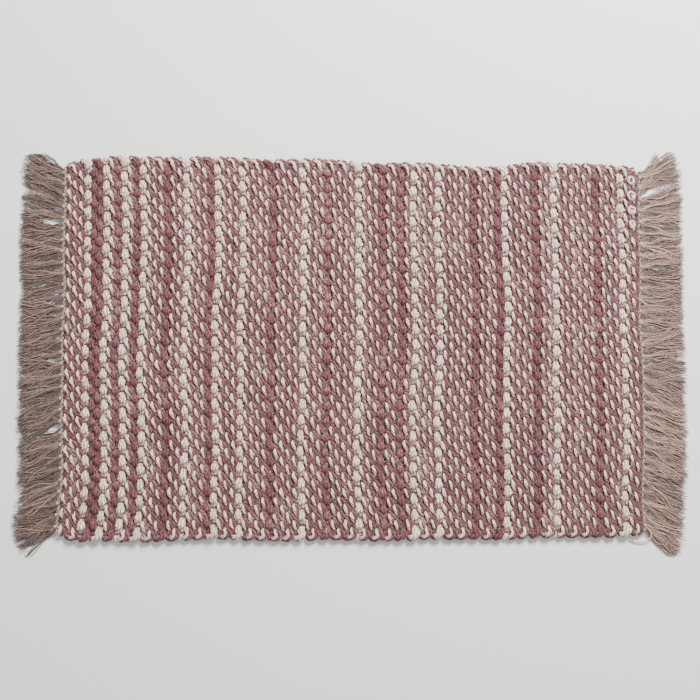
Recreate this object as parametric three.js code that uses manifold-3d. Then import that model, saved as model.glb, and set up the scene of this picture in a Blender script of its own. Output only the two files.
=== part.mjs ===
// A hand-woven cotton bath mat lying flat on the floor.
//
// The cloth is a weft-faced plain weave. Straight warp ends run the long way (X), hidden inside the
// cloth, and hang out as a fringe at both short ends. Thick soft picks of two strands run the short
// way (Y), over one warp end and under the next, and cover the warp on both faces. Single picks of
// cream make narrow stripes between wider bands of cream-and-rose ground. A twined cord holds the
// last pick at each end.
//
// Millimetres, +Z up. The origin is on the floor, under the middle of the mat.

import * as THREE from "three";
import { mergeVertices } from "three/addons/utils/BufferGeometryUtils.js";
import Module from "manifold-3d";

const wasm = await Module();
wasm.setup();

// Weft: how many picks of ground lie before each cream stripe, and after the last one.
const groundPicks = [3, 2, 2, 2, 6, 4, 3, 9, 8, 8, 3, 10, 7, 10, 2];
const creamPicks = 1; // picks in one cream stripe
const pickPitch = 8.35; // from one pick to the next along X
const ridgeHeight = 1.2; // how far a pick stands above the groove beside it
const ridgeTop = 0.5; // share of a pick's width that is its flat crown
const weftCover = 4.4; // weft above the warp, and as much below it

// Warp: groups of ends that lie side by side.
const warpGroups = 8;
const endsPerGroup = 6;
const warpPitch = 10.2; // from one warp end to the next along Y
const warpThickness = 1.6;
const crossingWall = 0.8; // weft that passes between two groups
const selvedgeTurn = 5.2; // weft that turns back round the outermost end

// Ends of the mat.
const twiningWidth = 5;
const twiningCover = 2.4; // twined cord above the warp, and as much below it
const fringeLength = 60; // beyond the twining
const tasselsPerGroup = 4; // the ends leave the cloth by turns singly and in pairs
const fringeDrop = 9; // length over which a warp end comes down to the floor
const fringeThickness = 2;
const rootGap = 1.6; // between two tassels where they leave the twining
const tipGap = 5; // between two tassels at their tips

const clearance = 0.3; // kept between any two pieces

// Worked out from the sizes above.
const thickness = warpThickness + 2 * clearance + 2 * weftCover;
const middle = thickness / 2;
const groupPitch = endsPerGroup * warpPitch;
const fieldWidth = warpGroups * groupPitch + 2 * selvedgeTurn;
const pickCount = groundPicks.reduce((sum, n) => sum + n, 0) + (groundPicks.length - 1) * creamPicks;
const fieldLength = pickCount * pickPitch;
const laneWidth = groupPitch - crossingWall;
const laneHeight = warpThickness + 2 * clearance;
const warpWidth = laneWidth - 2 * clearance;
const twiningEnd = fieldLength / 2 + twiningWidth;
const tip = twiningEnd + fringeLength;
const overshoot = 5; // how far a cutting tool runs past the piece it cuts

const group = new THREE.Group();

function material(color) {
  return new THREE.MeshStandardMaterial({ color, roughness: 0.95, metalness: 0 });
}

const creamCotton = material(0xd6cfc3);
const groundCotton = material(0xa37c78);
const twiningCotton = material(0xb59c88);
const warpCotton = material(0xa98d7d);

// three.js geometry to a solid that can be cut, and back.
function toSolid(geometry) {
  geometry.deleteAttribute("normal");
  geometry.deleteAttribute("uv");
  const merged = mergeVertices(geometry, 1e-4);
  return new wasm.Manifold(new wasm.Mesh({
    numProp: 3,
    vertProperties: new Float32Array(merged.attributes.position.array),
    triVerts: new Uint32Array(merged.index.array),
  }));
}

function toGeometry(solid) {
  const mesh = solid.getMesh();
  const geometry = new THREE.BufferGeometry();
  geometry.setAttribute("position", new THREE.BufferAttribute(mesh.vertProperties, 3));
  geometry.setIndex(new THREE.BufferAttribute(mesh.triVerts, 1));
  geometry.computeVertexNormals();
  return geometry;
}

function addPiece(name, solid, look, x = 0, y = 0) {
  const mesh = new THREE.Mesh(toGeometry(solid), look.clone());
  mesh.name = name;
  mesh.position.set(x, y, 0);
  group.add(mesh);
}

// A side view, drawn in X and Z, run across the mat along Y.
function acrossMat(points, width) {
  const outline = new THREE.Shape(points.map(([x, z]) => new THREE.Vector2(x, z)));
  const geometry = new THREE.ExtrudeGeometry(outline, { depth: width, bevelEnabled: false, steps: 1 });
  geometry.rotateX(Math.PI / 2);
  geometry.translate(0, width / 2, 0);
  return toSolid(geometry);
}

// The lanes that the warp groups pass through.
function lanes(length) {
  let all = null;
  for (let i = 0; i < warpGroups; i += 1) {
    const lane = new THREE.BoxGeometry(length + 2 * overshoot, laneWidth, laneHeight);
    lane.translate(0, groupY(i), middle);
    const solid = toSolid(lane);
    all = all ? all.add(solid) : solid;
  }
  return all;
}

function groupY(index) {
  return (index - (warpGroups - 1) / 2) * groupPitch;
}

// Weft: a band is ridged on both faces, one ridge to a pick.
function bandOutline(picks) {
  const length = picks * pickPitch - clearance;
  const pitch = length / picks;
  const slope = (pitch * (1 - ridgeTop)) / 2;
  const top = [];
  for (let i = 0; i < picks; i += 1) {
    const start = -length / 2 + i * pitch;
    top.push([start, thickness - ridgeHeight]);
    top.push([start + slope, thickness]);
    top.push([start + pitch - slope, thickness]);
  }
  top.push([length / 2, thickness - ridgeHeight]);
  const bottom = top.map(([x, z]) => [x, thickness - z]).reverse();
  return bottom.concat(top);
}

function addBand(name, picks, look, start) {
  const slab = acrossMat(bandOutline(picks), fieldWidth);
  const length = picks * pickPitch;
  addPiece(name, slab.subtract(lanes(length)), look, start + length / 2);
}

let x = -fieldLength / 2;
groundPicks.forEach((picks, i) => {
  const number = String(i + 1).padStart(2, "0");
  addBand(`ground_band_${number}`, picks, groundCotton, x);
  x += picks * pickPitch;
  if (i < groundPicks.length - 1) {
    addBand(`cream_stripe_${number}`, creamPicks, creamCotton, x);
    x += creamPicks * pickPitch;
  }
});

// Twined cord across each end, closed round every warp group.
function addTwining(name, side) {
  const half = (twiningWidth - clearance) / 2;
  const reach = laneHeight / 2 + twiningCover;
  const outline = [[-half, middle - reach], [half, middle - reach], [half, middle + reach], [-half, middle + reach]];
  const bar = acrossMat(outline, fieldWidth - selvedgeTurn);
  const centre = side * (fieldLength / 2 + twiningWidth / 2);
  addPiece(name, bar.subtract(lanes(twiningWidth)), twiningCotton, centre);
}

addTwining("end_twining_left", -1);
addTwining("end_twining_right", 1);

// Warp: each group is one flat strip inside the cloth that parts into tassels beyond the twining
// and comes down to lie on the floor.
function warpOutline() {
  const low = middle - warpThickness / 2;
  const high = middle + warpThickness / 2;
  const landing = twiningEnd + fringeDrop;
  return [
    [-tip, 0], [-landing, 0], [-twiningEnd, low], [twiningEnd, low], [landing, 0], [tip, 0],
    [tip, fringeThickness], [landing, fringeThickness], [twiningEnd, high],
    [-twiningEnd, high], [-landing, fringeThickness], [-tip, fringeThickness],
  ];
}

// A gap between two tassels, seen from above: narrow at the twining and wide at the tips.
function tasselGap(side, y) {
  const root = twiningEnd + clearance;
  const far = tip + overshoot;
  const outline = new THREE.Shape([
    new THREE.Vector2(root, -rootGap / 2), new THREE.Vector2(far, -tipGap / 2),
    new THREE.Vector2(far, tipGap / 2), new THREE.Vector2(root, rootGap / 2),
  ]);
  const depth = thickness + 2 * overshoot;
  const geometry = new THREE.ExtrudeGeometry(outline, { depth, bevelEnabled: false, steps: 1 });
  geometry.translate(0, 0, -overshoot);
  if (side < 0) geometry.rotateZ(Math.PI);
  geometry.translate(0, y, 0);
  return toSolid(geometry);
}

for (let i = 0; i < warpGroups; i += 1) {
  let strip = acrossMat(warpOutline(), warpWidth);
  for (let j = 1; j < tasselsPerGroup; j += 1) {
    const y = (j / tasselsPerGroup - 1 / 2) * groupPitch;
    strip = strip.subtract(tasselGap(1, y)).subtract(tasselGap(-1, y));
  }
  addPiece(`warp_group_${i + 1}`, strip, warpCotton, 0, groupY(i));
}

export default group;
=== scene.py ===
import math

import bmesh
import bpy
import numpy as np
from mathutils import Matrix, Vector


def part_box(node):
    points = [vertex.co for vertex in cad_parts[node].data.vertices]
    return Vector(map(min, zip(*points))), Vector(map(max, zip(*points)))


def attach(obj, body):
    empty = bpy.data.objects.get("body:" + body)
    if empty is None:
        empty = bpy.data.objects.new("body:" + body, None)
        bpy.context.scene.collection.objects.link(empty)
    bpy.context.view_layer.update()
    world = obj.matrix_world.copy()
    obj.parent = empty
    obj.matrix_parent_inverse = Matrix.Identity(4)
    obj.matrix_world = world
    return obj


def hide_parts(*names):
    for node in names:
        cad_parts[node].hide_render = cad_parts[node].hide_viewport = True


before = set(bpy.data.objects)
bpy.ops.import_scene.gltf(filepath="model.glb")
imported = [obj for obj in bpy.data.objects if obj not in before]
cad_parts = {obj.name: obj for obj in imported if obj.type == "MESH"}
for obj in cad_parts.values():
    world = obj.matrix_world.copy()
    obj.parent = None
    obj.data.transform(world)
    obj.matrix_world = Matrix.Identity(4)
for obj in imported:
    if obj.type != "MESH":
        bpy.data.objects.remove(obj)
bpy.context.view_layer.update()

# ---------------------------------------------------------------------------
# Ground bands: weft of soft cotton roving, two strands twisted round each other
# in each pick. Most picks pair a rose strand with a cream one, some are all
# wine. They run over one warp end and under the next, and turn at the edges.
# ---------------------------------------------------------------------------
mm = 0.001
pick_pitch = 8.35 * mm
warp_pitch = 10.2 * mm
warp_ends = 48
# The picks in order from the left: m mixed rose and cream, r wine, c cream.
draft = (
    "mmm c rr c mr c mr c mmmrmm c mmmr c mmm c mmmmrmmmm c mmmrmmmm c mmmrmmrm"
    " c mmm c mmmmmrmmmr c mmmmrmm c mmmmmmrmmm c mm"
).split()

first_low, first_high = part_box("ground_band_01")
field_left = first_low[0]
field_half = first_high[1]
middle = (first_low[2] + first_high[2]) / 2
last_warp = (warp_ends - 1) / 2 * warp_pitch

wave = 2.6 * mm  # how far a strand's middle rises over each warp end
turn_start = 2.4 * mm  # from the last warp end to where a strand starts to turn
turn_depth = 4.2 * mm
turn_length = 7.4 * mm
turn_aside = 3 * mm  # the loops at the edges all lean one way
turn_square = 0.6  # below 1, the loops press flat against each other
turn_swell = 0.6  # the loops at the edges are this much fatter
rings_per_warp = 5
end_rings = 6
strand_sides = 8

# How hand-spun roving varies from one warp end to the next.
size_varies = 0.1
drift_varies = 0.42 * mm
rise_varies = 0.06
twist_varies = 0.28  # radians
# And how it varies ring by ring.
stray = 0.22 * mm
ring_varies = 0.07

# How the mat lies: at each x, how far its back edge and its front edge lie to
# the back of where they would on a straight mat, all in mm.
lie = np.array(
    [
        (-390, 9, 7),
        (-360, 15, -1.5),
        (-305, 19, -2.6),
        (-225, 17, 0.6),
        (-60, 13, -0.8),
        (50, 8, -0.8),
        (190, 2.5, 0.3),
        (260, 7, 1.2),
        (325, 6, 2.6),
        (365, 3, 3),
        (390, -2, 5),
    ]
)


def smooth_between(values, where):
    """Reads values, one for each whole number, with an eased step between them."""
    base = np.clip(np.floor(where).astype(int), 0, len(values) - 2)
    part = np.clip(where - base, 0, 1)
    part = (1 - np.cos(math.pi * part)) / 2
    return values[base] * (1 - part) + values[base + 1] * part


def settle(points):
    """Moves points of the straight mat to where the soft cloth really lies."""
    x, y = points[..., 0] / mm, points[..., 1] / mm
    place = np.interp(x, lie[:, 0], np.arange(len(lie)))
    back, front = (smooth_between(lie[:, column], place) for column in (1, 2))
    share = np.clip((y * mm + field_half) / (2 * field_half), 0, 1)
    # The stripes wander in three small waves, and draw in half way across.
    dx = 1.5 * np.sin(y / 61 + x / 170) + 1.1 * np.sin(y / 37 - x / 90 + 2)
    dx = dx + 0.7 * np.sin(y / 19 + x / 45) - 0.0076 * x * np.sin(math.pi * share)
    # The front was pushed to the left, and so was the back right corner.
    dx = dx - 3 * (1 - share) ** 2 - 5 * share**6 * np.exp(-(((x - 358) / 28) ** 2))
    dy = back * share + front * (1 - share) + 0.9 * np.sin(x / 23 + y / 70)
    moved = points.copy()
    moved[..., 0] += dx * mm
    moved[..., 1] += dy * mm
    return moved


def strand(x, side, turns, shape, rng):
    """The line of one strand through the cloth, with its half width and height at
    each ring. x is its pick's place, side counts the picks, so that it goes over
    where the last went under, and turns says which way it turns at the front and
    at the back: 1 towards +x and -1 towards -x."""
    inner = np.linspace(-last_warp, last_warp, (warp_ends - 1) * rings_per_warp + 1)
    past = np.linspace(0, turn_start + turn_length, end_rings + 1)[1:]
    quarter = np.clip((past - turn_start) / turn_length, 0, 1) * math.pi / 2
    reach_x = pick_pitch / 2 * (1 - np.cos(quarter) ** turn_square)
    reach_y = np.minimum(past, turn_start) + turn_depth * np.sin(quarter) ** turn_square
    start, end = turns
    aside = turn_aside * np.sin(quarter)
    plan_x = np.concatenate(
        [(reach_x * start - aside)[::-1], inner * 0, reach_x * end - aside]
    )
    plan_y = np.concatenate([(-last_warp - reach_y)[::-1], inner, last_warp + reach_y])
    turned = 0.5 * past / (turn_start + turn_length)
    step = np.concatenate(
        [-turned[::-1], (inner + last_warp) / warp_pitch, warp_ends - 1 + turned]
    )
    phase = math.pi * (step + side)
    crown = np.abs(np.cos(phase))
    knots = warp_ends + 2
    size = smooth_between(rng.normal(1, size_varies, knots), step + 1)
    shift = shape["shift"] * mm
    drift = smooth_between(rng.normal(shift, drift_varies, knots), step + 1)
    rise = smooth_between(rng.normal(1, rise_varies, knots), step + 1)
    twist = math.radians(shape["angle"]) + shape["turn"] * phase
    twist += smooth_between(rng.normal(0, twist_varies, knots), step + 1)
    line = np.stack(
        [
            x + plan_x + drift + shape["apart"][0] * mm * np.cos(twist),
            plan_y,
            middle
            + wave * shape["lift"] * rise * np.cos(phase)
            + shape["apart"][1] * mm * np.sin(twist),
        ],
        axis=-1,
    )
    line[:, 0] += rng.normal(0, stray, len(step))
    swell = 1 + turned * turn_swell
    size = size * np.concatenate([swell[::-1], inner * 0 + 1, swell])
    half = []
    for between, on in (shape["widths"], shape["heights"]):
        lumpy = rng.normal(1, ring_varies, len(step))
        half.append((between + (on - between) * crown) * size * lumpy * mm)
    return line, np.stack(half, axis=-1)


def tubes(name, lines, halves, sides, tone, columns=1, above=(0.0, 0.0, 1.0)):
    """One mesh of many closed tubes: a cylinder cut into rings, once for each
    line, with each ring then set across its line. above is the way that a half
    height is measured, tone is how light each tube is coloured, from its dye
    and, in the fringe, from painted light and shade as well, and columns is how
    many tubes lie side by side in the map that a bake fills."""
    count, rings = lines.shape[:2]
    work = bmesh.new()
    bmesh.ops.create_cone(
        work, cap_ends=True, segments=sides, radius1=1, radius2=1, depth=1
    )
    runs = [e for e in work.edges if abs(e.verts[0].co.z - e.verts[1].co.z) > 0.5]
    bmesh.ops.subdivide_edges(work, edges=runs, cuts=rings - 2, use_grid_fill=True)
    one = bpy.data.meshes.new(name + "_one")
    work.to_mesh(one)
    work.clear()
    for _ in range(count):
        work.from_mesh(one)
    mesh = bpy.data.meshes.new(name)
    work.to_mesh(mesh)
    work.free()

    flat = np.empty(len(one.vertices) * 3)
    one.vertices.foreach_get("co", flat)
    flat = flat.reshape(-1, 3)
    ring = np.rint((flat[:, 2] + 0.5) * (rings - 1)).astype(int)
    angle = np.arctan2(flat[:, 1], flat[:, 0]) % (2 * math.pi)
    along = np.gradient(lines, axis=1)
    along /= np.linalg.norm(along, axis=-1, keepdims=True)
    above = np.array(above)
    up = above - (along @ above)[..., None] * along
    up /= np.linalg.norm(up, axis=-1, keepdims=True)
    across = np.cross(up, along)
    placed = (
        lines[:, ring]
        + across[:, ring] * (halves[:, ring, 0] * np.cos(angle))[..., None]
        + up[:, ring] * (halves[:, ring, 1] * np.sin(angle))[..., None]
    )
    mesh.vertices.foreach_set("co", placed.ravel())

    corner = np.empty(len(one.loops), dtype=int)
    one.loops.foreach_get("vertex_index", corner)
    starts = np.empty(len(one.polygons), dtype=int)
    one.polygons.foreach_get("loop_start", starts)
    face = np.searchsorted(starts, np.arange(len(corner)), side="right") - 1
    # The way round runs from 0 to 1, so the faces of its last strip end on 1.
    round_it = angle[corner] / (2 * math.pi)
    last_strip = np.maximum.reduceat(round_it, starts)[face] > 0.8
    first = round_it < 0.01
    round_it = np.where(first & last_strip, 1.0, round_it)
    length = np.concatenate(
        [
            np.zeros((count, 1)),
            np.cumsum(np.linalg.norm(np.diff(lines, axis=1), axis=-1), axis=1),
        ],
        axis=1,
    )
    rows = -(-count // columns)
    row, column = np.divmod(np.arange(count)[:, None], columns)
    bake = np.stack(
        [
            (column + 0.01 + 0.98 * ring[corner][None, :] / (rings - 1)) / columns,
            (row + 0.12 + 0.76 * round_it[None, :]) / rows,
        ],
        axis=-1,
    )
    yarn = np.stack(
        [length[:, ring[corner]], np.broadcast_to(round_it, (count, len(corner)))],
        axis=-1,
    )
    mesh.uv_layers.new(name="OFBake").data.foreach_set("uv", bake.ravel())
    mesh.uv_layers.new(name="yarn").data.foreach_set("uv", yarn.ravel())
    tones = np.repeat(np.asarray(tone, dtype=float), len(flat))
    mesh.attributes.new("tone", "FLOAT", "POINT").data.foreach_set("value", tones)
    mesh.polygons.foreach_set("use_smooth", np.ones(len(mesh.polygons), dtype=bool))
    mesh.update()
    bpy.data.meshes.remove(one)
    piece = bpy.data.objects.new(name, mesh)
    bpy.context.scene.collection.objects.link(piece)
    return piece


def srgb(code):
    """An sRGB hex colour as the linear one that the shaders take."""
    linear = []
    for start in (1, 3, 5):
        part = int(code[start : start + 2], 16) / 255
        dark = part <= 0.04045
        linear.append(part / 12.92 if dark else ((part + 0.055) / 1.055) ** 2.4)
    return linear + [1]


def add_node(material, kind, links=(), own=(), values=(), stops=()):
    """Adds a node: links as (socket, node, its output), own for the settings of
    the node itself, values by socket, and stops as (place, hex) on its ramp."""
    node = material.node_tree.nodes.new(kind)
    for key, value in dict(own).items():
        setattr(node, key, value)
    for key, value in dict(values).items():
        node.inputs[key].default_value = value
    for key, source, output in links:
        material.node_tree.links.new(source.outputs[output], node.inputs[key])
    if stops:
        band = node.color_ramp
        band.interpolation = "EASE"
        band.elements[0].position, band.elements[1].position = stops[0][0], stops[-1][0]
        for place, code in stops[1:-1]:
            band.elements.new(place)
        for element, (place, code) in zip(band.elements, stops, strict=True):
            element.color = srgb(code)
    return node


def roving(name, tones, groove_shade, ply_step, plies, slub_mm):
    """Soft spun cotton roving: plies twisted round each other give slanting
    ridges, with painted shade darkening the grooves between them, loose fibre
    gives a dull nap with a slight sheen, and dye that takes unevenly gives
    lighter and darker stretches."""
    material = bpy.data.materials.new(name)
    material.use_nodes = True
    material.node_tree.nodes.clear()
    own_map = add_node(material, "ShaderNodeUVMap", own={"uv_map": "yarn"})
    split = add_node(material, "ShaderNodeSeparateXYZ", [(0, own_map, "UV")])
    # Ply ridges: one ridge each ply_step along the strand, slanting round it.
    walk = add_node(
        material,
        "ShaderNodeMath",
        [(0, split, "X")],
        own={"operation": "MULTIPLY"},
        values={1: 1 / ply_step},
    )
    slant = add_node(
        material,
        "ShaderNodeMath",
        [(0, split, "Y"), (2, walk, 0)],
        own={"operation": "MULTIPLY_ADD"},
        values={1: plies},
    )
    saw = add_node(
        material, "ShaderNodeMath", [(0, slant, 0)], own={"operation": "FRACT"}
    )
    half = add_node(
        material,
        "ShaderNodeMath",
        [(0, saw, 0)],
        own={"operation": "MULTIPLY"},
        values={1: math.pi},
    )
    ridge = add_node(
        material, "ShaderNodeMath", [(0, half, 0)], own={"operation": "SINE"}
    )
    # Loose fibre: streaks along the plies, some 2 mm long and 1 mm wide, with
    # finer ones in them. Real fibre is finer still, too fine to show.
    place = add_node(material, "ShaderNodeCombineXYZ", [("X", walk, 0), ("Y", slant, 0)])
    fibre = add_node(
        material,
        "ShaderNodeTexNoise",
        [("Vector", place, 0)],
        own={"noise_dimensions": "2D"},
        values={"Scale": 3.4, "Detail": 5, "Roughness": 0.7, "Distortion": 0.6},
    )
    spot = add_node(material, "ShaderNodeTexCoord")
    slub = add_node(
        material,
        "ShaderNodeTexNoise",
        [("Vector", spot, "Object")],
        values={"Scale": 1 / (slub_mm * mm), "Detail": 5, "Roughness": 0.75},
    )
    tone = add_node(
        material,
        "ShaderNodeAttribute",
        own={"attribute_name": "tone", "attribute_type": "GEOMETRY"},
    )
    mixed = add_node(
        material,
        "ShaderNodeMath",
        [(0, slub, 0), (2, tone, "Fac")],
        own={"operation": "MULTIPLY_ADD"},
        values={1: 0.7},
    )
    streaked = add_node(
        material,
        "ShaderNodeMath",
        [(0, fibre, 0), (2, mixed, 0)],
        own={"operation": "MULTIPLY_ADD"},
        values={1: 0.9},
    )
    colour = add_node(
        material, "ShaderNodeValToRGB", [("Fac", streaked, 0)], stops=tones
    )
    # Painted shade: in the grooves between the plies the colour is multiplied by the
    # darker groove colour.
    depth = add_node(
        material,
        "ShaderNodeMapRange",
        [("Value", ridge, 0)],
        values={"From Min": 0.0, "From Max": 0.7, "To Min": 1.0, "To Max": 0.0},
    )
    painted_groove_shade = add_node(
        material,
        "ShaderNodeMix",
        [(0, depth, 0), (6, colour, 0)],
        own={"data_type": "RGBA", "blend_type": "MULTIPLY"},
        values={7: srgb(groove_shade)},
    )
    relief = add_node(
        material,
        "ShaderNodeMath",
        [(0, fibre, 0), (2, ridge, 0)],
        own={"operation": "MULTIPLY_ADD"},
        values={1: 0.7},
    )
    bump = add_node(
        material,
        "ShaderNodeBump",
        [("Height", relief, 0)],
        values={"Strength": 1.0, "Distance": 0.7 * mm},
    )
    shader = add_node(
        material,
        "ShaderNodeBsdfPrincipled",
        [("Base Color", painted_groove_shade, 2), ("Normal", bump, 0)],
        values={
            "Roughness": 0.92,
            "Specular IOR Level": 0.25,
            "Sheen Weight": 0.25,
            "Sheen Roughness": 0.55,
        },
    )
    add_node(material, "ShaderNodeOutputMaterial", [("Surface", shader, 0)])
    return material


# The fourth colour given to each roving is the painted shade in its ply grooves.
# Cream cotton, light and smooth, with a blush from the rose fibre beside it.
cream_roving = roving(
    "cream_cotton_roving",
    [
        (0.38, "#ab8371"),
        (0.56, "#e3bba8"),
        (0.68, "#fbd3c1"),
        (0.8, "#f8dbce"),
        (1.0, "#ffe6d9"),
    ],
    "#8d7770",
    ply_step=6.5 * mm,
    plies=3,
    slub_mm=40,
)
# Rose dye that took patchily, so that darker and paler flecks lie side by side.
rose_roving = roving(
    "rose_cotton_roving",
    [
        (0.38, "#2b1b1c"),
        (0.52, "#4b2b2d"),
        (0.63, "#6f3b43"),
        (0.71, "#5d4243"),
        (0.8, "#7b4342"),
        (0.9, "#83605e"),
        (1.0, "#c8a69f"),
    ],
    "#614548",
    ply_step=6.4 * mm,
    plies=4,
    slub_mm=26,
)
# The same dye taken up more deeply: darker, redder and more even.
wine_roving = roving(
    "wine_cotton_roving",
    [
        (0.38, "#2c1719"),
        (0.52, "#4d272c"),
        (0.63, "#70343f"),
        (0.72, "#643a3b"),
        (0.82, "#7b4044"),
        (1.0, "#b28083"),
    ],
    "#614548",
    ply_step=6.4 * mm,
    plies=4,
    slub_mm=26,
)
# Undyed cotton with a little husk left in: a softer, yellower white.
ecru_roving = roving(
    "ecru_cotton_roving",
    [
        (0.38, "#93796a"),
        (0.58, "#cdb29f"),
        (0.76, "#f2d6c4"),
        (1.0, "#ffe9da"),
    ],
    "#66564d",
    ply_step=6.0 * mm,
    plies=3,
    slub_mm=45,
)

# The two strands of a pick: the ground strand and the one laid in with it. Each
# has its dye, its angle in the pair's twist at a crown and its turns for every
# two warp ends, how far it lies from the pair's middle across and up, its shift
# to the side, its share of the wave as lift, and its half widths and half
# heights, between the warp ends and on them, all lengths in mm.
strand_kinds = {
    "m": (
        dict(
            dye="rose", angle=318, turn=1, apart=(1.2, 0.75), shift=1.25, lift=0.65,
            widths=(3.5, 4.3), heights=(1.25, 1.3),
        ),
        dict(
            dye="cream", angle=138, turn=1, apart=(1.2, 0.75), shift=-0.75, lift=1.05,
            widths=(1.6, 2.05), heights=(1.15, 1.65),
        ),
    ),
    "r": (
        dict(
            dye="wine", angle=0, turn=-2, apart=(2.1, 0.7), shift=0, lift=0.8,
            widths=(2.6, 3.4), heights=(1.25, 1.5),
        ),
        dict(
            dye="wine", angle=180, turn=-2, apart=(2.1, 0.7), shift=0, lift=0.8,
            widths=(2.6, 3.4), heights=(1.25, 1.5),
        ),
    ),
    "c": (
        dict(
            dye="ecru", angle=20, turn=-2, apart=(2.7, 1.0), shift=0, lift=1,
            widths=(2.4, 3.5), heights=(1.2, 1.5),
        ),
        dict(
            dye="ecru", angle=200, turn=-2, apart=(2.7, 1.0), shift=0, lift=1,
            widths=(2.4, 3.5), heights=(1.2, 1.5),
        ),
    ),
}
dye_varies = 0.035  # from pick to pick
dyed = {
    "cream": cream_roving,
    "rose": rose_roving,
    "wine": wine_roving,
    "ecru": ecru_roving,
}


def weave(name, picks, which, seed):
    """A piece of weft: one strand of each of these (number, letter) picks. A
    strand turns towards the next pick at one edge and the last one at the other."""
    rng = np.random.default_rng(seed)
    lines, halves, dyes = [], [], []
    outermost = (0, len("".join(draft)) - 1)
    for number, letter in picks:
        x = field_left + (number + 0.5) * pick_pitch
        front_turn = 1 if number % 2 else -1
        back_turn = -front_turn
        if number in outermost:  # no pick beyond it to turn to
            front_turn = 0.1 * front_turn
        shape = strand_kinds[letter][which]
        line, half = strand(x, number, (front_turn, back_turn), shape, rng)
        lines.append(line)
        halves.append(half)
        dyes.append(shape["dye"])
    tones = rng.normal(0, dye_varies, len(lines))
    piece = tubes(name, settle(np.array(lines)), np.array(halves), strand_sides, tones)
    per_tube = len(piece.data.polygons) // len(dyes)
    used = sorted(set(dyes))
    for dye in used:
        piece.data.materials.append(dyed[dye])
    piece.data.polygons.foreach_set(
        "material_index", np.repeat([used.index(d) for d in dyes], per_tube)
    )
    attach(piece, "root")
    return piece


number = 0
cream_picks = []
ground_pieces = []
for run in draft:
    picks = [(number + i, letter) for i, letter in enumerate(run)]
    number += len(run)
    if run == "c":
        cream_picks += picks
        continue
    band = len(ground_pieces) + 1
    piece = weave(f"roving_band_{band:02d}", picks, 0, seed=100 + band)
    laid_in = weave(f"laid_in_band_{band:02d}", picks, 1, seed=200 + band)
    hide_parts(f"ground_band_{band:02d}")
    ground_pieces.append((piece, laid_in, len(run)))

# ---------------------------------------------------------------------------
# Slack eyes: near the back right corner the cream strand of an outer pick was
# not pulled tight, and stands up in small round loops of cotton roving.
# ---------------------------------------------------------------------------
eye_half = 1.75 * mm
eye_rings = 19
eye_height = 3.9  # above the middle of the cloth, in mm
eye_dip = 2.4  # how far its two ends go down into the cloth
# Each eye's x and y, its half width and half length, all in mm, and its tone.
eye_shapes = (
    (381, 231, 3.1, 4.4, 0.12),
    (381, 210, 3.7, 4.9, 0.1),
    (381.5, 190, 3.5, 4.7, 0.06),
    (382, 171, 2.6, 4.3, 0.08),
)
round_it = np.linspace(-0.35, 2 * math.pi - 0.45, eye_rings) - 1.2
dip = np.interp(np.linspace(0, 1, eye_rings), [0, 0.14, 0.86, 1], [1, 0, 0, 1])
eyes = []
for x, y, wide, tall, _ in eye_shapes:
    eyes.append(
        np.stack(
            [
                x * mm + wide * mm * np.cos(round_it),
                y * mm + tall * mm * np.sin(round_it),
                middle + (eye_height - eye_dip * dip) * mm,
            ],
            axis=-1,
        )
    )
slack_eyes = tubes(
    "slack_eyes",
    settle(np.array(eyes)),
    np.full((len(eyes), eye_rings, 2), eye_half),
    strand_sides,
    tone=[shape[-1] for shape in eye_shapes],
)
slack_eyes.data.materials.append(cream_roving)
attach(slack_eyes, "root")

# ---------------------------------------------------------------------------
# Cream stripes: single picks between the ground bands, each of two strands of
# undyed cotton roving, woven like the ground and beaten up as close.
# ---------------------------------------------------------------------------
cream_piece = weave("cream_stripes", cream_picks, 0, seed=77)
cream_laid_in = weave("cream_laid_in", cream_picks, 1, seed=78)
stripes = [f"cream_stripe_{i + 1:02d}" for i in range(len(cream_picks))]
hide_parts(*stripes)

# ---------------------------------------------------------------------------
# Warp and fringe: cotton ends stretched through the middle of the cloth, six
# to a group. Past each short edge they are bound in small tassels, and their
# fine plies are left loose to lie on the floor.
# ---------------------------------------------------------------------------
groups = 8
ends_per_group = warp_ends // groups
group_width = ends_per_group * warp_pitch
plies_per_end = 3
ply_gap = 0.8 * mm
ply_half = 0.42 * mm
ply_sides = 5
warp_rings = 130
warp_bends = 60  # how many times a ply strays a little on its way
tassels_per_group = 4
locks_per_tassel = 12
single_locks = 6
threads_per_lock = 5
thread_rings = 15
thread_half = 0.46 * mm
thread_sides = 4
shortest_thread = 56 * mm
longest_thread = 63 * mm
fringe_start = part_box("ground_band_15")[1][0] + 3.2 * mm
curl_from = field_half + 14 * mm  # where the corner tufts curl in
curl_room = 9 * mm  # and how far past it they reach
lock_fan = 0.2  # how the locks differ in where they point, in radians
lock_bend = 0.24  # and in how much they bend
thread_fan = 0.07  # and the same for the threads in a lock
thread_bend = 0.1
beside_tassel = 7 * mm  # how far from its binding a single lock may leave
# Which way the tassels lie at each end: distance up the mat in mm, and degrees
# that they turn to the back at the left end and at the right end.
sweep = np.array(
    [
        (-250, -16, -46),
        (-232, -20, -42),
        (-215, -25, -38),
        (-200, -26, -32),
        (-180, -24, -20),
        (-100, -16, -16),
        (-75, -15, -28),
        (-56, -15, -38),
        (-46, -14, -18),
        (-12, -14, -14),
        (-2, -14, 4),
        (60, -8, -4),
        (120, -3, -4),
        (165, 2, -4),
        (185, 6, 0),
        (195, 8, 9),
        (203, 34, 15),
        (215, 30, 20),
        (232, 20, 27),
        (250, 14, 33),
    ]
)


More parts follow.
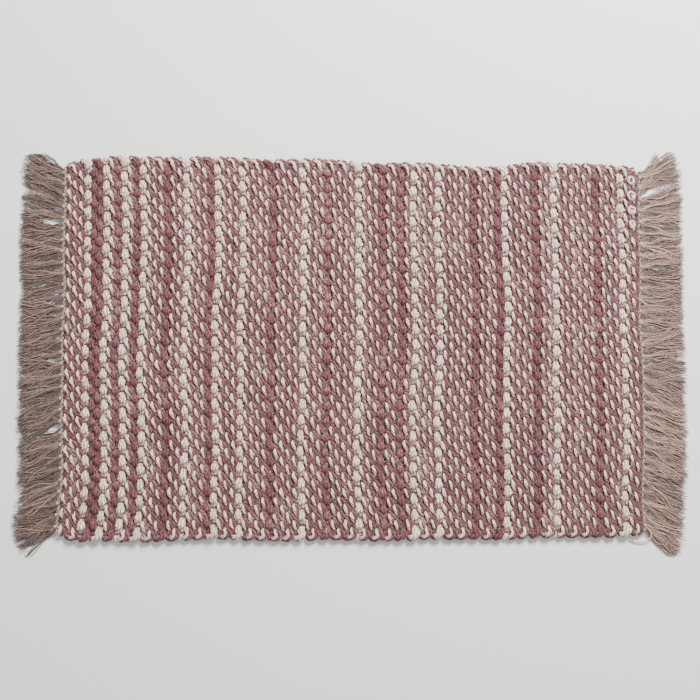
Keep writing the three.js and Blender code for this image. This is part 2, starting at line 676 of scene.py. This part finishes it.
def tuft(root, side, rng):
    """The loose threads of one tassel, each as its line and how high it lies, from
    0 to 1. They keep together in a few locks, and each lock has its own heading,
    bend and wave, from which its threads stray a little."""
    column = 1 if side < 0 else 2
    turn = math.radians(np.interp(root[1] / mm, sweep[:, 0], sweep[:, column]))
    turn += rng.normal(0, 0.05)
    u = np.linspace(0, 1, thread_rings)
    lines = []
    for lock in range(locks_per_tassel):
        fan = rng.normal(0, lock_fan)
        bend = rng.normal(0, lock_bend)
        waves = rng.uniform(0.8, 1.9)
        start = rng.uniform(0, 6.3)
        tall = rng.uniform(0.8, 2.4) * mm
        # The first locks leave singly beside the binding, and lie lowest.
        loose = lock < single_locks
        layer = rng.uniform(0, 0.25) if loose else rng.uniform(0.15, 1)
        beside = rng.uniform(-beside_tassel, beside_tassel) if loose else 0
        for _ in range(threads_per_lock):
            out = rng.uniform(shortest_thread, longest_thread) * u
            heading = turn + fan + rng.normal(0, thread_fan)
            heading = heading + (bend + rng.normal(0, thread_bend)) * (u - 0.3)
            swing = tall * rng.uniform(0.7, 1.3) * np.minimum(u * 5, 1)
            swing = swing * np.sin(2 * math.pi * waves * u + start + rng.normal(0, 0.35))
            swing += 0.2 * mm * np.sin(u * rng.uniform(9, 16) + rng.uniform(0, 6))
            dx = np.concatenate([[0], np.cumsum(np.cos(heading)[1:] * np.diff(out))])
            dy = np.concatenate([[0], np.cumsum(np.sin(heading)[1:] * np.diff(out))])
            x = root[0] + side * (dx - swing * np.sin(turn))
            y = root[1] + beside + rng.normal(0, 0.8) * mm + dy
            y = y + swing * np.cos(turn)
            # It comes down in its first third, and then lies on those below it.
            low = (0.5 + 2.6 * layer + rng.uniform(0, 0.9)) * mm
            fall = np.clip(u * 3.2, 0, 1)
            fall = fall * fall * (3 - 2 * fall)
            z = middle * (1 - fall) + low * fall
            z += 0.4 * mm * np.sin(u * 9 + rng.uniform(0, 6)) * fall
            z = np.maximum(z, thread_half * 1.05)
            beyond = np.maximum(np.abs(y) - curl_from, 0)
            held_in = beyond - curl_room * np.tanh(beyond / curl_room)
            y = y - np.sign(y) * held_in
            lines.append((np.stack([x, y, z], axis=-1), layer))
    return lines


def thread(name, tones):
    """Fine plied cotton thread: harder spun and so smoother and a little
    glossier than the roving, with short flecks of lighter and darker fibre."""
    material = bpy.data.materials.new(name)
    material.use_nodes = True
    material.node_tree.nodes.clear()
    own_map = add_node(material, "ShaderNodeUVMap", own={"uv_map": "yarn"})
    # Flecks 4 mm long, a third of the way round the thread.
    stretch = add_node(
        material,
        "ShaderNodeMapping",
        [("Vector", own_map, 0)],
        values={"Scale": (260, 3, 1)},
    )
    noise = add_node(
        material,
        "ShaderNodeTexNoise",
        [("Vector", stretch, 0)],
        own={"noise_dimensions": "2D"},
        values={"Scale": 1.0, "Detail": 3},
    )
    tone = add_node(
        material,
        "ShaderNodeAttribute",
        own={"attribute_name": "tone", "attribute_type": "GEOMETRY"},
    )
    shade = add_node(
        material,
        "ShaderNodeMath",
        [(0, noise, 0), (2, tone, "Fac")],
        own={"operation": "MULTIPLY_ADD"},
        values={1: 0.25},
    )
    colour = add_node(material, "ShaderNodeValToRGB", [("Fac", shade, 0)], stops=tones)
    bump = add_node(
        material,
        "ShaderNodeBump",
        [("Height", noise, 0)],
        values={"Strength": 0.7, "Distance": 0.15 * mm},
    )
    shader = add_node(
        material,
        "ShaderNodeBsdfPrincipled",
        [("Base Color", colour, 0), ("Normal", bump, 0)],
        values={
            "Roughness": 0.75,
            "Specular IOR Level": 0.35,
            "Sheen Weight": 0.2,
            "Sheen Roughness": 0.5,
        },
    )
    add_node(material, "ShaderNodeOutputMaterial", [("Surface", shader, 0)])
    return material


# Unbleached cotton: greyish brown in the shade of the locks, straw on top.
fringe_cotton = thread(
    "unbleached_cotton_thread",
    [
        (0.1, "#57453f"),
        (0.35, "#745d55"),
        (0.55, "#93786d"),
        (0.78, "#b59587"),
        (1.0, "#d8b8a0"),
    ],
)
# The same thread inside the cloth, made darker and rosier with painted shade and a
# painted rose reflection from the weft around it.
shaded_warp_cotton = thread(
    "shaded_mauve_cotton_warp",
    [(0.1, "#4f3233"), (0.4, "#633f41"), (0.7, "#7a5250"), (1.0, "#93706a")],
)

taper = np.interp(np.linspace(0, 1, thread_rings), [0, 0.85, 1], [1, 0.9, 0.45])
warp_pieces = []
roots = []
x = np.linspace(-fringe_start, fringe_start, warp_rings)
bend_at = np.linspace(0, warp_bends - 2, warp_rings)
for group in range(groups):
    rng = np.random.default_rng(300 + group)
    centre = (group - (groups - 1) / 2) * group_width
    lines, tones = [], []
    for end in range(ends_per_group):
        for ply in range(plies_per_end):
            y = centre + (end - (ends_per_group - 1) / 2) * warp_pitch
            y = y + (ply - (plies_per_end - 1) / 2) * ply_gap
            aside = rng.normal(0, 0.22 * mm, warp_bends)
            height = rng.normal(0, 0.12 * mm, warp_bends)
            line = np.stack(
                [
                    x,
                    y + smooth_between(aside, bend_at),
                    middle + smooth_between(height, bend_at),
                ],
                axis=-1,
            )
            lines.append(settle(line))
            tones.append(rng.uniform(0.0, 0.5))
    ends = tubes(
        f"warp_ends_{group + 1}",
        np.array(lines),
        np.full((len(lines), warp_rings, 2), ply_half),
        ply_sides,
        tones,
    )
    ends.data.materials.append(shaded_warp_cotton)
    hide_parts(f"warp_group_{group + 1}")
    warp_pieces.append(ends)
    for side, hand in ((-1, "left"), (1, "right")):
        lines, tones = [], []
        for tassel in range(tassels_per_group):
            place = (tassel + 0.5) / tassels_per_group - 0.5
            y = centre + place * group_width
            root = settle(np.array([side * fringe_start, y, middle]))
            roots.append((root, side))
            for line, low in tuft(root, side, rng):
                lines.append(line)
                # The right fringe is paler. The threads on top are lighter and those
                # lower down darker: painted light and shade.
                tone = 0.05 + 0.1 * side + 0.42 * low + rng.normal(0, 0.16)
                tones.append(np.clip(tone, 0, 0.95))
        halves = np.broadcast_to(
            (thread_half * taper)[None, :, None], (len(lines), thread_rings, 2)
        )
        loose = tubes(
            f"fringe_{hand}_{group + 1}",
            np.array(lines),
            halves,
            thread_sides,
            tones,
            columns=4,
        )
        loose.data.materials.append(fringe_cotton)
        warp_pieces.append(loose)
for piece in warp_pieces:
    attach(piece, "root")

# ---------------------------------------------------------------------------
# Tassel bindings: each tassel is held where it leaves the cloth by nearly two
# turns of one of its own pale cotton threads, pulled tight.
# ---------------------------------------------------------------------------
binding_radius = 1.6 * mm
binding_half = 0.6 * mm
binding_length = 2.4 * mm
binding_turns = 1.8
binding_rings = 20
binding_flat = 1.25  # how much wider than high it is
turned = np.linspace(0, 2 * math.pi * binding_turns, binding_rings)
wraps = []
for root, side in roots:
    wraps.append(
        np.stack(
            [
                root[0] + side * (0.2 * mm + binding_length * turned / turned[-1]),
                root[1] + binding_flat * binding_radius * np.cos(turned),
                root[2] + binding_radius * np.sin(turned),
            ],
            axis=-1,
        )
    )
bindings = tubes(
    "tassel_bindings",
    np.array(wraps),
    np.full((len(wraps), binding_rings, 2), binding_half),
    ply_sides,
    tone=[0.8 + 0.12 * math.sin(7 * i) for i in range(len(wraps))],
    columns=4,
    above=(1.0, 0.0, 0.0),
)
bindings.data.materials.append(fringe_cotton)
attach(bindings, "root")
warp_pieces += [bindings, slack_eyes]

# ---------------------------------------------------------------------------
# End twining: two thin cotton cords twisted round each other along both short
# edges, one before and one behind the warp, so that the weft can't slide off.
# ---------------------------------------------------------------------------
twining_half = 0.85 * mm
twining_twist = 15.3 * mm  # along which the two cords go once round each other
twining_aside = 1.1 * mm
twining_rise = 1.7 * mm
twining_rings = 420
twining_tones = (0.55, 0.45)
tail_tone = 0.9
twining_pieces = []
for side, node in ((-1, "end_twining_left"), (1, "end_twining_right")):
    low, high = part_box(node)
    x = (low[0] + high[0]) / 2
    y = np.linspace(low[1] + 2 * mm, high[1] - 2 * mm, twining_rings)
    lines = []
    for half_turn in (0, math.pi):
        phase = 2 * math.pi * y / twining_twist + half_turn
        aside = x + twining_aside * np.sin(phase)
        rise = middle + twining_rise * np.cos(phase)
        lines.append(np.stack([aside, y, rise], axis=-1))
    lines = list(settle(np.array(lines)))
    tones = list(twining_tones)
    if side > 0:
        # Its front end was left long, and bends back along the front edge: a few
        # points in mm, rounded off by the mean of those near each.
        tail = np.array(
            [
                (391, -236, 6),
                (395, -240, 6),
                (397, -246, 5),
                (393, -252, 3.4),
                (385, -254.5, 2.4),
                (377, -254.5, 2),
                (371, -252.5, 2),
                (367, -249, 2),
            ]
        )
        at = np.linspace(0, len(tail) - 1, twining_rings)
        near = twining_rings // 8
        mean_of = np.ones(2 * near + 1) / (2 * near + 1)
        bent = []
        for values in tail.T:
            straight = np.pad(np.interp(at, range(len(tail)), values), near, mode="edge")
            bent.append(np.convolve(straight, mean_of, mode="valid"))
        lines.append(np.stack(bent, axis=-1) * mm)
        tones.append(tail_tone)
    piece = tubes(
        f"twined_cord_{'left' if side < 0 else 'right'}",
        np.array(lines),
        np.full((len(lines), twining_rings, 2), twining_half),
        strand_sides,
        tones,
    )
    piece.data.materials.append(fringe_cotton)
    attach(piece, "root")
    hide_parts(node)
    twining_pieces.append(piece)

# For each ground band, a list of what goes with it: its laid-in strand, and with the
# first band also the warp, fringe, bindings, eyes and twining pieces. The lists are not
# used further.
for index, (piece, laid_in, count) in enumerate(ground_pieces):
    goes_with = [laid_in]
    if index == 0:
        goes_with += warp_pieces + twining_pieces

# ---------------------------------------------------------------------------
# Studio: a plain pale floor, a soft light high up at the back right, a weak one
# from the front, and the camera nearly overhead.
# ---------------------------------------------------------------------------
floor_half = 25  # metres, so that its edge is far off in any view
floor_below = 0.4 * mm  # so that the lowest threads don't share its surface
# Matt painted board: plain, with almost no shine.
floor_material = bpy.data.materials.new("matt_pale_floor")
floor_material.use_nodes = True
floor_material.node_tree.nodes.clear()
floor_shader = add_node(
    floor_material,
    "ShaderNodeBsdfPrincipled",
    values={"Base Color": srgb("#f3f2f0"), "Roughness": 0.9, "Specular IOR Level": 0.1},
)
add_node(floor_material, "ShaderNodeOutputMaterial", [("Surface", floor_shader, 0)])
ground = bmesh.new()
bmesh.ops.create_grid(ground, x_segments=1, y_segments=1, size=floor_half)
floor_mesh = bpy.data.meshes.new("studio_floor")
ground.to_mesh(floor_mesh)
ground.free()
floor_mesh.materials.append(floor_material)
floor = bpy.data.objects.new("studio_floor", floor_mesh)
floor.location = (0, 0, -floor_below)
bpy.context.scene.collection.objects.link(floor)

world = bpy.data.worlds.new("studio")
world.use_nodes = True
background = world.node_tree.nodes["Background"]
background.inputs["Color"].default_value = (1, 1, 1, 1)
background.inputs["Strength"].default_value = 0.55
bpy.context.scene.world = world

# Each lamp's place and size in metres, and its power in watts.
for name, place, size, power in (
    ("key", (0.75, 1.7, 1.5), 0.8, 150),
    ("fill", (0.6, -1.6, 1.8), 1.8, 6),
):
    lamp = bpy.data.lights.new(name, "AREA")
    lamp.size = size
    lamp.energy = power
    holder = bpy.data.objects.new(name, lamp)
    holder.location = place
    holder.rotation_euler = (-Vector(place)).to_track_quat("-Z", "Y").to_euler()
    bpy.context.scene.collection.objects.link(holder)

view_centre = Vector((-0.0034, 0.0031, 0))
view_distance = 1.3115
elevation, heading = math.radians(86.37), math.radians(0.2)
lens = bpy.data.cameras.new("camera")
lens.lens = 50
lens.sensor_width = 36
camera = bpy.data.objects.new("camera", lens)
ahead = Vector(
    (
        math.cos(elevation) * math.sin(heading),
        math.cos(elevation) * math.cos(heading),
        -math.sin(elevation),
    )
)
camera.location = view_centre - ahead * view_distance
camera.rotation_euler = ahead.to_track_quat("-Z", "Y").to_euler()
bpy.context.scene.collection.objects.link(camera)
bpy.context.scene.camera = camera
